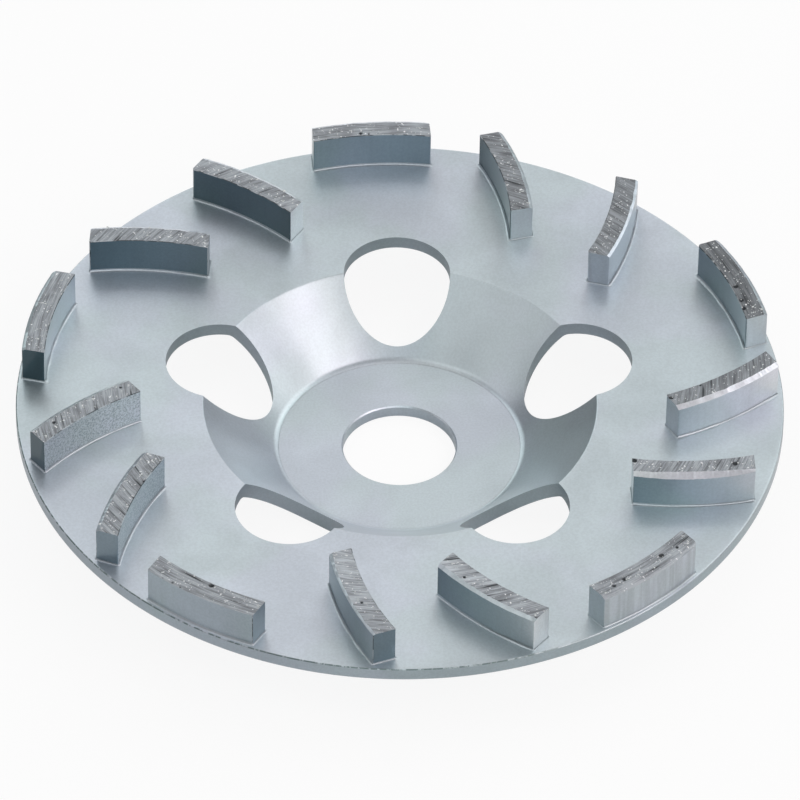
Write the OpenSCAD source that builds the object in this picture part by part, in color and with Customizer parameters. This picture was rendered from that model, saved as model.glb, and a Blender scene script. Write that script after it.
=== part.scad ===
// Diamond cup wheel, grinding side up: a dished steel disc with dust holes round a recessed hub,
// and curved diamond segments brazed on its flat rim. Each group holds one segment along the
// wheel's edge and two slanted ones. The origin is the bore's centre on the hub's back face.

/* [Steel disc] */
// Diameter over the flat rim
wheel_d = 150; // [146:1:180]
// Thickness of the plate, the same through hub, cone and rim
plate_t = 2.7; // [2.2:0.1:4]
// Depth of the dish, from the rim's top face down to the hub's top face
dish_depth = 12.1; // [8:0.1:14]
// Slope of the cone between hub and rim, above the horizontal
cone_angle = 39.5; // [35:0.5:50]
// Diameter of the hub's top face, to the sharp corner where the cone would start
hub_d = 48.4; // [44:0.1:50]
// Fillet between the hub's top face and the cone
hub_fillet_r = 2.5; // [1:0.1:4]
// Bend radius on the hub's back
hub_back_r = 4.5; // [2:0.1:6]
// Rounded edge where the cone meets the rim's top face
rim_corner_r = 1; // [0.5:0.1:2]
// Fillet between the cone and the rim's underside
rim_under_r = 2; // [1:0.1:4]
// Rounding of the rim's outer edges
edge_r = 0.3; // [0.2:0.05:0.6]

/* [Bore] */
// Diameter of the bore for the grinder's spindle flange
bore_d = 22.23; // [20:0.01:25.4]
// Chamfer at both ends of the bore
bore_chamfer = 0.25; // [0.1:0.05:0.5]

/* [Dust holes] */
// Number of dust holes
hole_count = 5; // [3:1:6]
// Diameter of a dust hole
hole_d = 21.1; // [16:0.1:22]
// How far inside the cone's upper edge the holes are centred
hole_inset = 1.8; // [0:0.1:3]

/* [Diamond segments] */
// Number of segment groups round the rim
group_count = 5; // [3:1:5]
// Length of a segment, square end to square end
seg_l = 23.6; // [20:0.1:25]
// Width of a segment
seg_w = 4.5; // [3.5:0.1:6]
// Height of a segment
seg_h = 7.7; // [4:0.1:10]
// Bend radius of a segment's convex face
seg_bend_r = 63.5; // [45:0.5:90]
// Chamfer along the top edge of the convex face
seg_chamfer = 0.7; // [0.3:0.1:1.2]

/* [Edge segment of a group] */
// Gap between its convex face and the edge of the wheel
edge_seg_gap = 0.75; // [0.3:0.05:3]
// Its place round the wheel, past the direction of the first dust hole
edge_seg_at = 3.8; // [-2:0.1:8]

/* [First slanted segment of a group] */
// Distance of its middle from the edge of the wheel
first_inset = 12.25; // [12.2:0.05:14]
// Its place round the wheel, past the direction of the first dust hole
first_at = 27.5; // [24:0.1:30]
// How far its convex face turns away from facing outward
first_turn = -61.3; // [-70:0.1:-50]

/* [Second slanted segment of a group] */
// Distance of its middle from the edge of the wheel
second_inset = 11.65; // [11.65:0.05:14]
// Its place round the wheel, past the direction of the first dust hole
second_at = 50.6; // [48:0.1:53]
// How far its convex face turns away from facing outward
second_turn = -54.7; // [-62:0.1:-48]

/* [Braze seams] */
// Thickness of the braze film under a segment
film_t = 0.15; // [0.1:0.05:0.3]
// Width and height of the bead round a segment's foot
bead = 0.6; // [0.3:0.05:1]

/* [Hidden] */
SEGMENTS_PER_GROUP = 3;
ARC_STEPS = 8;
segment_count = group_count * SEGMENTS_PER_GROUP;
function numbered(name, n) = str(name, n < 10 ? "_0" : "_", n);
$fn = 120;

wheel_r = wheel_d / 2;
bore_r = bore_d / 2;
hub_r = hub_d / 2;
rim_top = plate_t + dish_depth;
rim_bottom = rim_top - plate_t;
rim_in_r = hub_r + dish_depth / tan(cone_angle);
// The plate's lower corners lie this much further out than its upper ones
corner_shift = plate_t * tan(cone_angle / 2);
hole_pitch_r = rim_in_r - hole_inset;
first_direction = 90;
cut_margin = 1;

// Middle of each segment of a group: distance from the axis, place round the wheel, and turn
seg_pitch_r = [wheel_r - edge_seg_gap - seg_w / 2, wheel_r - first_inset, wheel_r - second_inset];
seg_at = [edge_seg_at, first_at, second_at];
seg_turn = [0, first_turn, second_turn];
seg_inner_r = seg_bend_r - seg_w;
seg_mid_r = seg_bend_r - seg_w / 2;

lacquer_color = [0.74, 0.76, 0.79];
segment_color = [0.55, 0.54, 0.56];
braze_color = [0.83, 0.85, 0.87];

function polar(length, angle) = length * [cos(angle), sin(angle)];

// Points of an arc of radius r in the corner v, from the edge that leaves v in the direction a1
// to the edge that leaves it in the direction a2
function corner_arc(v, a1, a2, r) =
    let (half = (a2 - a1) / 2)
    let (side = sign(half))
    let (centre = v + polar(r / abs(sin(half)), a1 + half))
    let (start = a1 - side * 90)
    let (sweep = a2 - a1 - side * 180)
    [for (i = [0 : ARC_STEPS]) centre + polar(r, start + sweep * i / ARC_STEPS)];

// Half section of the plate, bore first, out along the back and home along the grinding side
module disc_section() {
    polygon(concat(
        [[bore_r, bore_chamfer], [bore_r + bore_chamfer, 0]],
        corner_arc([hub_r + corner_shift, 0], 180, cone_angle, hub_back_r),
        corner_arc([rim_in_r + corner_shift, rim_bottom], 180 + cone_angle, 360, rim_under_r),
        corner_arc([wheel_r, rim_bottom], 180, 90, edge_r),
        corner_arc([wheel_r, rim_top], 270, 180, edge_r),
        corner_arc([rim_in_r, rim_top], 360, 180 + cone_angle, rim_corner_r),
        corner_arc([hub_r, plate_t], cone_angle, 180, hub_fillet_r),
        [[bore_r + bore_chamfer, plate_t], [bore_r, plate_t - bore_chamfer]]
    ));
}

module steel_disc() {
    color(lacquer_color)
    difference() {
        rotate_extrude() disc_section();
        for (i = [0 : hole_count - 1])
            rotate(first_direction + i * 360 / hole_count)
            translate([hole_pitch_r, 0, -cut_margin])
            cylinder(d = hole_d, h = rim_top + 2 * cut_margin);
    }
}

// Moves a shape made round the bend centre, its middle on +X, to segment n's seat on the rim
module at_seat(n) {
    group = floor((n - 1) / SEGMENTS_PER_GROUP);
    kind = (n - 1) % SEGMENTS_PER_GROUP;
    rotate(first_direction + group * 360 / group_count + seg_at[kind])
    translate([seg_pitch_r[kind], 0, rim_top])
    rotate(seg_turn[kind])
    translate([-seg_mid_r, 0, 0])
    children();
}

// Slab across the bent bar that gives it square ends, its sides leaning in by lean over height h
module end_cut(h, lean) {
    half_l = seg_l / 2;
    translate([seg_inner_r - seg_w, 0, 0])
    rotate([90, 0, 90])
    linear_extrude(3 * seg_w)
    polygon([[-half_l - lean, 0], [half_l + lean, 0], [half_l, h], [-half_l, h]]);
}

// Bent bar with square ends and a chamfer along the top of its convex face
module segment_solid() {
    chamfer_z = seg_h - seg_chamfer;
    intersection() {
        difference() {
            union() {
                cylinder(r = seg_bend_r, h = chamfer_z);
                translate([0, 0, chamfer_z])
                cylinder(r1 = seg_bend_r, r2 = seg_bend_r - seg_chamfer, h = seg_chamfer);
            }
            translate([0, 0, -cut_margin])
            cylinder(r = seg_inner_r, h = seg_h + 2 * cut_margin);
        }
        end_cut(seg_h, 0);
    }
}

// Braze film that the segment stands in, with a bead that slopes up to the foot on all sides
module seam_solid() {
    seam_h = film_t + bead;
    difference() {
        intersection() {
            difference() {
                cylinder(r1 = seg_bend_r + bead, r2 = seg_bend_r, h = seam_h);
                cylinder(r1 = seg_inner_r - bead, r2 = seg_inner_r, h = seam_h);
            }
            end_cut(seam_h, bead);
        }
        translate([0, 0, film_t]) segment_solid();
    }
}

module segment(n) {
    color(segment_color) at_seat(n) translate([0, 0, film_t]) segment_solid();
}

// The bead ends where the rim's top face starts to round off
module braze_seam(n) {
    color(braze_color)
    intersection() {
        at_seat(n) seam_solid();
        cylinder(r = wheel_r - edge_r, h = rim_top + seg_h);
    }
}

steel_disc();
for (n = [1 : segment_count]) {
    segment(n);
    braze_seam(n);
}
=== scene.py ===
"""A diamond cup wheel for angle grinders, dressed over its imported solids.

The stamped steel disc, the bent diamond segments and the braze beads round their feet are modelled
with their real edges, grinding marks, grit and lacquer, and lit in a plain pale studio. The frame is
the solids' own: metres, +Z towards the grinding side, the origin on the hub's back face.
"""

import logging
import math
import random
from dataclasses import dataclass, field
from enum import Enum, auto
from typing import Callable

import bmesh
import bpy
from mathutils import Matrix, Vector, noise


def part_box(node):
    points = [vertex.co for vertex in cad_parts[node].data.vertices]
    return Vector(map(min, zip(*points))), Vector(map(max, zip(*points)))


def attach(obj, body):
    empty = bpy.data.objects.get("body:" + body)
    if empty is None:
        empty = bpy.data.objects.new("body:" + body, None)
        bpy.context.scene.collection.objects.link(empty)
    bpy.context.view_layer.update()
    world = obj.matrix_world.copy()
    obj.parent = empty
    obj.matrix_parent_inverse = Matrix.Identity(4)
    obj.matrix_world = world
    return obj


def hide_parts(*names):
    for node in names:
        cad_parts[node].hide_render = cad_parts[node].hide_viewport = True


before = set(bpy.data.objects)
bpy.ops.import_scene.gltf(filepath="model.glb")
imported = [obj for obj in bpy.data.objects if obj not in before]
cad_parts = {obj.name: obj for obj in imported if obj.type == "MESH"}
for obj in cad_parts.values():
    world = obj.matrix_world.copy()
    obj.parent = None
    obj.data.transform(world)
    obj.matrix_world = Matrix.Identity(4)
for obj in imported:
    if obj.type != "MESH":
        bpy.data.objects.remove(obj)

MM = 0.001
BODY = "root"
LOG = logging.getLogger("cup_wheel")
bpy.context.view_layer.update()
DISC_LOW, DISC_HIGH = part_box("steel_disc")
SEGMENT_LOW, SEGMENT_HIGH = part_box("segment_01")
WHEEL_RADIUS = DISC_HIGH.x
RIM_TOP = DISC_HIGH.z
FIRST_HOLE = math.radians(90)
GROUPS = 5
SHARP_ANGLE = math.radians(28)

# Distances in metres within which points are welded, heights count as level, and a vertex
# counts as lying on a cutting plane
WELD = 1e-7
LEVEL = 1e-6
ON_PLANE = 1e-9

Value = "Socket | float | tuple"
Colour = tuple[float, float, float]
Span = tuple[float, float]


class Socket:
    """An output socket whose Python operators add Math nodes to its shader."""

    def __init__(self, shader: "Shader", output: bpy.types.NodeSocket) -> None:
        """Wraps one output of a node."""
        self.shader = shader
        self.output = output

    def __add__(self, other: Value) -> "Socket":
        """Adds a value."""
        return self.shader.maths("ADD", self, other)

    def __sub__(self, other: Value) -> "Socket":
        """Takes a value away."""
        return self.shader.maths("SUBTRACT", self, other)

    def __rsub__(self, other: Value) -> "Socket":
        """Is taken away from a value."""
        return self.shader.maths("SUBTRACT", other, self)

    def __mul__(self, other: Value) -> "Socket":
        """Multiplies by a value."""
        return self.shader.maths("MULTIPLY", self, other)

    def __pow__(self, other: Value) -> "Socket":
        """Raises to a power."""
        return self.shader.maths("POWER", self, other)

    __radd__ = __add__
    __rmul__ = __mul__


class Shader:
    """A node tree under construction, for a material or the world."""

    def __init__(self, owner: bpy.types.Material | bpy.types.World) -> None:
        """Empties the owner's node tree.

        Args:
            owner: The material or world whose nodes are to be built.
        """
        owner.use_nodes = True
        self.tree = owner.node_tree
        self.tree.nodes.clear()

    def node(self, kind: str, settings: dict | None = None, output: int | str = 0,
             **values: Value) -> Socket:
        """Adds a node.

        Args:
            kind: The node's type without its "ShaderNode" prefix.
            settings: The node's own properties, which are set before its inputs.
            output: The output to return, by index or name.
            **values: Values or links of the inputs; a name's underscores stand for spaces, and
                in0, in1 and so on name an input by its index.

        Returns:
            The chosen output.
        """
        made = self.tree.nodes.new("ShaderNode" + kind)
        for name, setting in (settings or {}).items():
            setattr(made, name, setting)
        for name, value in values.items():
            numbered = name.startswith("in") and name[2:].isdigit()
            socket = made.inputs[int(name[2:]) if numbered else name.replace("_", " ")]
            self._feed(socket, value)
        return Socket(self, made.outputs[output])

    def _feed(self, socket: bpy.types.NodeSocket, value: Value) -> None:
        """Links a socket's output to an input, or sets the input's own value.

        Args:
            socket: The input.
            value: A socket, a number, a vector or a colour.
        """
        if isinstance(value, Socket):
            self.tree.links.new(value.output, socket)
        elif isinstance(value, (tuple, Vector)) and len(value) == 3 and socket.type == "RGBA":
            socket.default_value = (*value, 1.0)
        else:
            socket.default_value = value

    def maths(self, operation: str, first: Value, second: Value = 0.0) -> Socket:
        """Adds a Math node for one operation on two values."""
        return self.node("Math", {"operation": operation}, in0=first, in1=second)

    def vector(self, operation: str, first: Value, second: Value = (0.0, 0.0, 0.0)) -> Socket:
        """Adds a Vector Math node for one operation on two vectors."""
        return self.node("VectorMath", {"operation": operation}, in0=first, in1=second)

    def length(self, vector: Socket) -> Socket:
        """Returns a vector's length."""
        return self.node("VectorMath", {"operation": "LENGTH"}, output="Value", in0=vector)

    def position(self) -> Socket:
        """Returns the object coordinates, which are the wheel's own, in metres."""
        return self.node("TexCoord", output="Object")

    def split(self, vector: Socket) -> tuple[Socket, Socket, Socket]:
        """Takes a vector apart.

        Args:
            vector: The vector.

        Returns:
            Its three components.
        """
        made = self.node("SeparateXYZ", Vector=vector)
        outputs = made.output.node.outputs
        return tuple(Socket(self, outputs[axis]) for axis in "XYZ")

    def mix(self, factor: Value, first: Value, second: Value) -> Socket:
        """Mixes two colours by a factor."""
        settings = {"data_type": "RGBA", "clamp_factor": True}
        return self.node("Mix", settings, output=2, in0=factor, in6=first, in7=second)

    def noise(self, vector: Socket, scale: float, detail: float = 2.0, roughness: float = 0.5,
              distortion: float = 0.0) -> Socket:
        """Returns Perlin noise between 0 and 1, with a pattern of about 1/scale metres."""
        return self.node("TexNoise", Vector=vector, Scale=scale, Detail=detail, Roughness=roughness,
                         Distortion=distortion)

    def band(self, value: Socket, low: float, high: float, bottom: float = 0.0,
             top: float = 1.0) -> Socket:
        """Maps a value smoothly from bottom to top between two limits."""
        return self.node("MapRange", {"interpolation_type": "SMOOTHSTEP"}, Value=value,
                         From_Min=low, From_Max=high, To_Min=bottom, To_Max=top)

    def bump(self, height: Socket, strength: float, distance: float) -> Socket:
        """Returns a normal that a height field disturbs."""
        return self.node("Bump", Strength=strength, Distance=distance, Height=height)

    def grey(self, value: Socket) -> Socket:
        """Makes a colour of one number."""
        return self.node("CombineColor", Red=value, Green=value, Blue=value)

    def attribute(self, name: str) -> Socket:
        """Returns a number that the piece's own vertices or faces carry."""
        return self.node("Attribute", {"attribute_name": name}, output="Fac")

    def finish(self, surface: Socket, kind: str = "OutputMaterial") -> None:
        """Ends the tree in its output node."""
        made = self.tree.nodes.new("ShaderNode" + kind)
        self.tree.links.new(surface.output, made.inputs["Surface"])


@dataclass(frozen=True)
class Lacquer:
    """Silver lacquer, sprayed thin: mottled over centimetres, finely grainy, with a clear gloss."""

    name: str = "silver_lacquer"
    cool: Colour = (0.525, 0.57, 0.63)
    green: Colour = (0.495, 0.56, 0.59)
    dull: Colour = (0.12, 0.17, 0.17)
    metal: float = 0.85
    shine: float = 0.38
    shine_grain: float = 0.08
    gloss: float = 0.5
    gloss_roughness: float = 0.12
    mottle_scale: float = 38.0
    mottle_span: Span = (0.42, 0.6)
    mottle_height: float = 40.0
    clouds: float = 0.045
    cloud_scale: float = 55.0
    cloud_span: Span = (0.36, 0.64)
    grain_scale: float = 2200.0
    grain_span: Span = (0.3, 0.7)
    grain_shade: Span = (0.95, 1.04)
    grain_height: float = 0.012 * MM
    bump: float = 0.5
    speckle: float = 0.0
    speckle_scale: float = 2900.0
    speckle_span: Span = (0.44, 0.60)
    # Whether the colour takes each face's painted light and shade
    takes_painted_shading: bool = False
    redness: float = 1.25
    blueness: float = 0.92
    runs: float = 0.03
    run_scales: tuple[float, float, float] = (900.0, 900.0, 50.0)
    run_span: Span = (0.35, 0.65)
    darkened_edge: float = 0.0
    worn_towards: float = math.radians(232)
    worn_reach: Span = (0.35 * WHEEL_RADIUS, 0.6 * WHEEL_RADIUS)
    worn_outside: Span = (WHEEL_RADIUS - 0.3 * MM, WHEEL_RADIUS - 0.15 * MM)
    worn_above: Span = (RIM_TOP - 0.27 * MM, RIM_TOP - 0.15 * MM)
    dash_scale: float = 520.0
    dash_span: Span = (0.38, 0.52)

    def make(self) -> bpy.types.Material:
        """Mixes the lacquer.

        Returns:
            The material.
        """
        material = bpy.data.materials.new(self.name)
        shader = Shader(material)
        place = shader.position()
        mottle = shader.noise(place, self.mottle_scale, detail=3.0)
        grain = shader.noise(place, self.grain_scale)
        colour = shader.mix(shader.band(mottle, *self.mottle_span), self.cool, self.green)
        shade = shader.grey(self.shade(shader, place, grain))
        colour = shader.vector("MULTIPLY", colour, shade)
        # Painted light and shade: the colour scaled face by face
        if self.takes_painted_shading:
            colour = shader.vector("MULTIPLY", colour, self.painted_shading_tint(shader))
        if self.speckle:
            dry = shader.noise(place, self.speckle_scale, detail=2.0, roughness=0.7)
            share = shader.band(dry, *self.speckle_span) * self.speckle
            colour = shader.mix(share, colour, self.dull)
        if self.darkened_edge:
            colour = shader.mix(self.edge_wear(shader, place), colour, self.dull)
        height = grain + mottle * self.mottle_height
        surface = shader.node(
            "BsdfPrincipled", Base_Color=colour, Metallic=self.metal,
            Roughness=grain * self.shine_grain + (self.shine - self.shine_grain / 2),
            Coat_Weight=self.gloss, Coat_Roughness=self.gloss_roughness,
            Normal=shader.bump(height, self.bump, self.grain_height))
        shader.finish(surface)
        return material

    def shade(self, shader: Shader, place: Socket, grain: Socket) -> Socket:
        """Shades the lacquer with its grain, its upright runs and its soft clouds.

        Args:
            shader: The lacquer's node tree.
            place: The object coordinates.
            grain: The grain's noise.

        Returns:
            How bright the lacquer is, round 1.
        """
        upright = shader.vector("MULTIPLY", place, self.run_scales)
        runs = shader.noise(upright, 1.0, detail=2.0)
        broad = shader.noise(place, self.cloud_scale, detail=2.0, distortion=0.6)
        grainy = shader.band(grain, *self.grain_span, *self.grain_shade)
        streaky = shader.band(runs, *self.run_span, 1.0 - self.runs, 1.0)
        cloudy = shader.band(broad, *self.cloud_span, 1.0 - self.clouds, 1.0 + self.clouds)
        return grainy * streaky * cloudy

    def painted_shading_tint(self, shader: Shader) -> Socket:
        """Tints the painted light and shade: painted shade turns greener and bluer as it darkens,
        painted light warmer as it brightens.

        Args:
            shader: The lacquer's node tree.

        Returns:
            The colour that the lacquer is multiplied by: painted shade below 1, painted light above 1.
        """
        coat = shader.attribute("coat")
        return shader.node("CombineColor", Red=coat ** self.redness, Green=coat,
                           Blue=coat ** self.blueness)

    def edge_wear(self, shader: Shader, place: Socket) -> Socket:
        """Finds where the rim's upper edge shows dark dashes through the lacquer.

        Args:
            shader: The lacquer's node tree.
            place: The object coordinates.

        Returns:
            The share of worn metal, from 0 to darkened_edge.
        """
        x, y, z = shader.split(place)
        flat = shader.node("CombineXYZ", X=x, Y=y)
        outer = shader.band(shader.length(flat), *self.worn_outside)
        upper = shader.band(z, *self.worn_above)
        dashes = shader.noise(flat, self.dash_scale, detail=3.0, roughness=0.7)
        towards = x * math.cos(self.worn_towards) + y * math.sin(self.worn_towards)
        stretch = shader.band(towards, *self.worn_reach)
        return outer * upper * shader.band(dashes, *self.dash_span) * stretch * self.darkened_edge


@dataclass(frozen=True)
class SinteredMetal:
    """The segments' ground tops: a grey metal bond with marks that run round the wheel, with painted
    glints, painted shade in the scratches and pits, and painted light and shade per top.
    """

    name: str = "sintered_bond"
    pale: Colour = (0.39, 0.42, 0.45)
    dark: Colour = (0.15, 0.16, 0.175)
    # Colour of the painted shade in the pits
    pit_shade: Colour = (0.035, 0.04, 0.045)
    # Colour of the painted glints in the pale specks
    painted_glint: Colour = (0.78, 0.79, 0.80)
    metal: float = 0.5
    shine: Span = (0.36, 0.54)
    mark_pitch: float = 0.21 * MM
    mark_length: float = 5.0 * MM
    mark_share: float = 0.5
    blotch_scale: float = 420.0
    blotch_span: Span = (0.3, 0.7)
    blotch_share: float = 0.25
    relief_share: float = 0.25
    tone_span: Span = (0.33, 0.68)
    speck_scale: float = 2100.0
    speck_span: Span = (0.68, 0.74)
    speck_height: float = 0.5
    pit_span: Span = (0.0, 0.22)
    bump: float = 0.6
    bump_height: float = 0.05 * MM

    def make(self) -> bpy.types.Material:
        """Presses and grinds the bond.

        Returns:
            The material.
        """
        material = bpy.data.materials.new(self.name)
        shader = Shader(material)
        place = shader.position()
        marks = shader.noise(self.course(shader, place), 1.0, detail=2.0, roughness=0.6, distortion=0.3)
        blotch = shader.noise(place, self.blotch_scale, detail=3.0, roughness=0.6)
        speck = shader.noise(place, self.speck_scale, detail=1.0)
        relief = shader.attribute("relief")
        # Low relief, in the scratches and pits, darkens the tone: painted shade
        tone = marks * self.mark_share + blotch * self.blotch_share + relief * self.relief_share
        colour = shader.mix(shader.band(tone, *self.tone_span), self.dark, self.pale)
        # Painted light and shade of each segment's top, from its face attribute
        colour = shader.vector("MULTIPLY", colour, shader.grey(shader.attribute("coat")))
        # Pale specks: painted glints
        colour = shader.mix(shader.band(speck, *self.speck_span), colour, self.painted_glint)
        # Pits painted near black: painted shade
        colour = shader.mix(shader.band(relief, *self.pit_span), self.pit_shade, colour)
        height = marks + speck * self.speck_height
        surface = shader.node(
            "BsdfPrincipled", Base_Color=colour, Metallic=self.metal,
            Roughness=shader.band(blotch, *self.blotch_span, *self.shine),
            Normal=shader.bump(height, self.bump, self.bump_height))
        shader.finish(surface)
        return material

    def course(self, shader: Shader, place: Socket) -> Socket:
        """Lays the grinding marks' pattern out round the wheel's axis.

        Args:
            shader: The bond's node tree.
            place: The object coordinates.

        Returns:
            The place counted in mark pitches outwards and in mark lengths round the wheel.
        """
        x, y, _ = shader.split(place)
        radius = shader.length(shader.node("CombineXYZ", X=x, Y=y))
        around = shader.maths("ARCTAN2", y, x) * WHEEL_RADIUS
        return shader.node("CombineXYZ", X=radius * (1 / self.mark_pitch),
                           Y=around * (1 / self.mark_length))


@dataclass(frozen=True)
class DarkenedEdge:
    """Darkened segment edges: dark metal broken by patches of silver, also on some corner facets. Under
    the concave top edge it is bare metal where the lacquer ends, with painted shade under the overhanging
    top.
    """

    name: str = "darkened_edge"
    dark: Colour = (0.05, 0.06, 0.065)
    silver: Colour = (0.42, 0.45, 0.48)
    metal: float = 0.6
    shine: Span = (0.4, 0.55)
    patch_scale: float = 330.0
    patch_span: Span = (0.46, 0.58)
    shine_span: Span = (0.3, 0.7)

    def make(self) -> bpy.types.Material:
        """Wears the lacquer off.

        Returns:
            The material.
        """
        material = bpy.data.materials.new(self.name)
        shader = Shader(material)
        patches = shader.noise(shader.position(), self.patch_scale, detail=3.0, roughness=0.6)
        colour = shader.mix(shader.band(patches, *self.patch_span), self.dark, self.silver)
        shader.finish(shader.node("BsdfPrincipled", Base_Color=colour, Metallic=self.metal,
                                  Roughness=shader.band(patches, *self.shine_span, *self.shine)))
        return material


@dataclass(frozen=True)
class DiamondGrit:
    """Diamond crystals that stand a little out of the bond, pale and glassy."""

    name: str = "diamond_grit"
    clear: Colour = (0.74, 0.76, 0.76)
    cloudy: Colour = (0.50, 0.53, 0.52)
    shine: float = 0.18
    refraction: float = 2.0
    cloud_scale: float = 1500.0
    cloud_span: Span = (0.35, 0.65)

    def make(self) -> bpy.types.Material:
        """Grows the crystals' finish.

        Returns:
            The material.
        """
        material = bpy.data.materials.new(self.name)
        shader = Shader(material)
        clouds = shader.noise(shader.position(), self.cloud_scale)
        colour = shader.mix(shader.band(clouds, *self.cloud_span), self.cloudy, self.clear)
        shader.finish(shader.node("BsdfPrincipled", Base_Color=colour, Roughness=self.shine,
                                  IOR=self.refraction))
        return material


def corner_arc(corner: Vector, first: float, second: float, radius: float,
               steps: int) -> list[Vector]:
    """Rounds a corner of an outline with an arc.

    Args:
        corner: The sharp corner, with the distance from the axis in x and the height in y.
        first: Direction of the edge that the arc starts on, seen from the corner, in degrees.
        second: Direction of the edge that the arc ends on.
        radius: The arc's radius.
        steps: How many chords stand for the arc.

    Returns:
        The arc's points, in order.
    """
    half = math.radians(second - first) / 2
    side = math.copysign(1, half)
    start = math.radians(first) - side * math.pi / 2
    sweep = 2 * half - side * math.pi
    reach = radius / abs(math.sin(half))
    middle = math.radians(first) + half
    centre = corner + reach * Vector((math.cos(middle), math.sin(middle)))
    turns = [start + sweep * step / steps for step in range(steps + 1)]
    return [centre + radius * Vector((math.cos(turn), math.sin(turn))) for turn in turns]


def finish_piece(mesh: bmesh.types.BMesh, name: str, materials: list[bpy.types.Material], slot: str,
                 *nodes: str) -> bpy.types.Object:
    """Turns a bmesh into a finished piece that rides on the wheel.

    Args:
        mesh: The modelled piece, in the wheel's frame. It is freed.
        name: The new object's name.
        materials: The materials that the faces' indices name.
        slot: The record's material slot that the piece takes its finish from; not used.
        *nodes: The CAD nodes that the piece stands for.

    Returns:
        The new object.
    """
    bmesh.ops.recalc_face_normals(mesh, faces=mesh.faces)
    for face in mesh.faces:
        face.smooth = True
    data = bpy.data.meshes.new(name)
    mesh.to_mesh(data)
    mesh.free()
    data.set_sharp_from_angle(angle=SHARP_ANGLE)
    for material in materials:
        data.materials.append(material)
    piece = bpy.data.objects.new(name, data)
    bpy.context.scene.collection.objects.link(piece)
    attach(piece, BODY)
    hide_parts(*nodes)
    LOG.info("%s: %d faces", name, len(data.polygons))
    return piece


def slice_off(mesh: bmesh.types.BMesh, point: Vector, outward: Vector,
              fill: bool) -> list[bmesh.types.BMFace]:
    """Cuts away what lies beyond a plane.

    Args:
        mesh: The shape to cut.
        point: A point on the plane.
        outward: The plane's normal, towards what goes.
        fill: Whether the cut is closed with a face.

    Returns:
        The faces that close the cut.
    """
    everything = [*mesh.verts, *mesh.edges, *mesh.faces]
    bmesh.ops.bisect_plane(mesh, geom=everything, dist=ON_PLANE, plane_co=point, plane_no=outward,
                           clear_outer=True)
    if not fill:
        return []
    rim = [edge for edge in mesh.edges if edge.is_boundary]
    return bmesh.ops.holes_fill(mesh, edges=rim)["faces"]


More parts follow.
